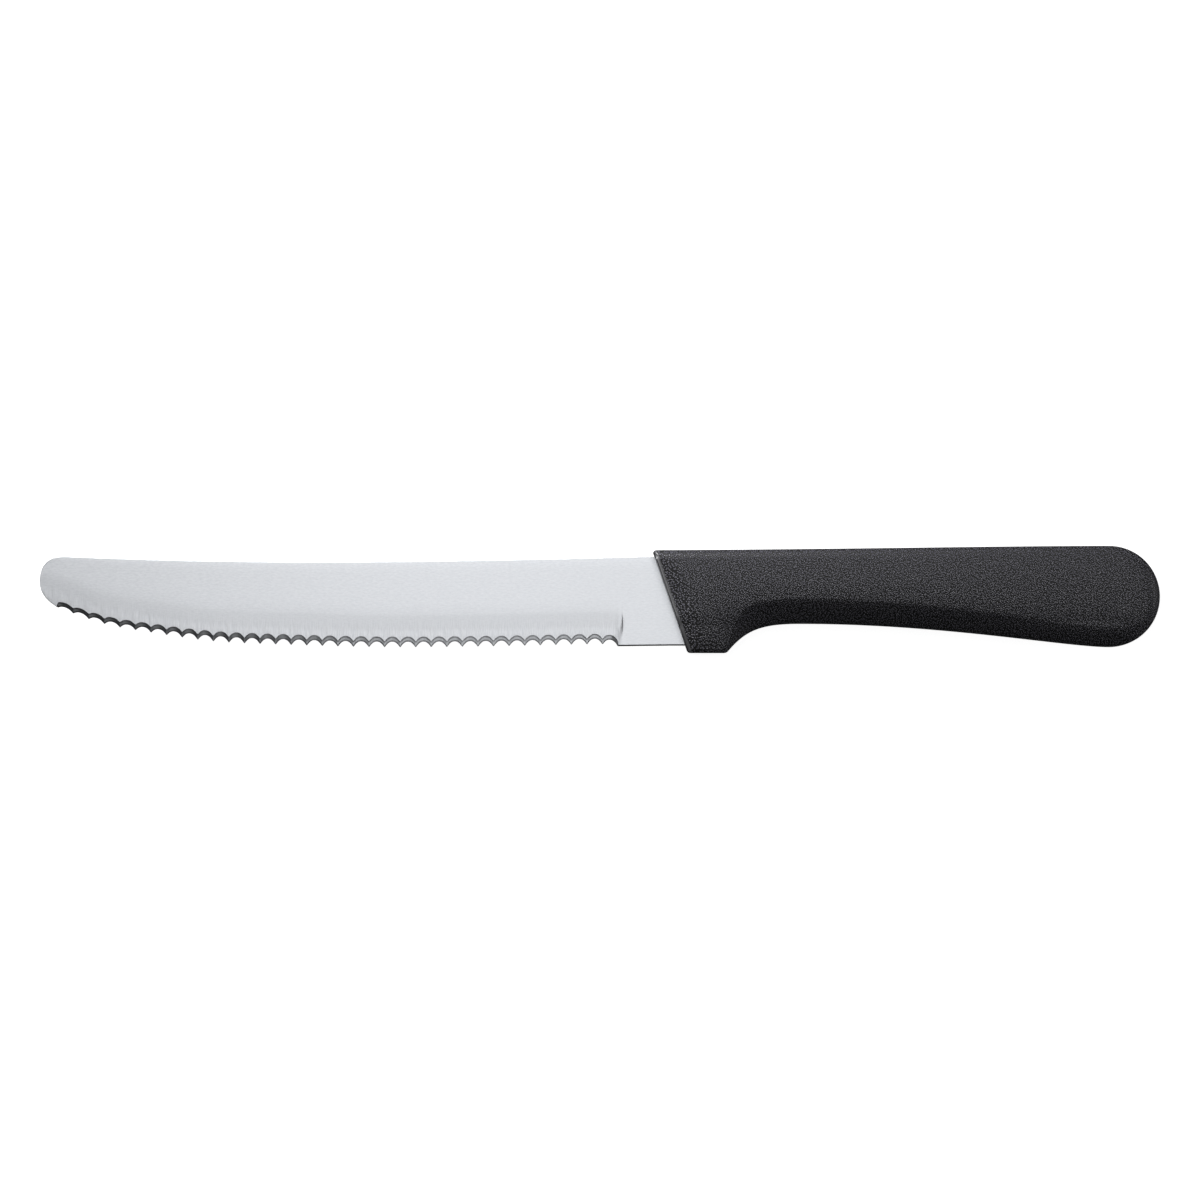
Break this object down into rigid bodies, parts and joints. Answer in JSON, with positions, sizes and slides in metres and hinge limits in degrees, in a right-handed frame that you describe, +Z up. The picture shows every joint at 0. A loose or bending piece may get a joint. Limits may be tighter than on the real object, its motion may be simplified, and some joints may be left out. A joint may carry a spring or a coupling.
{
  "type": "steak knife",
  "caption": "Serrated steak knife with a round-nosed stamped stainless blade, scallops ground from one side, and a moulded black plastic grip with a finger notch.",
  "frame": {"origin": "middle of the knife's length and depth, on the surface that the knife lies on", "axes": "X runs from the blade's tip to the butt of the handle, Y from the cutting edge to the back, Z up from the surface to the side that carries the ground bevels"},
  "size_m": [0.2256, 0.0216, 0.013],
  "materials": {
    "blade_steel": "satin, belt-ground stainless sheet",
    "handle_plastic": "fine moulded grain, black"
  },
  "bodies": {
    "root": {"blade": "blade_steel", "handle": "handle_plastic"}
  },
  "joints": []
}
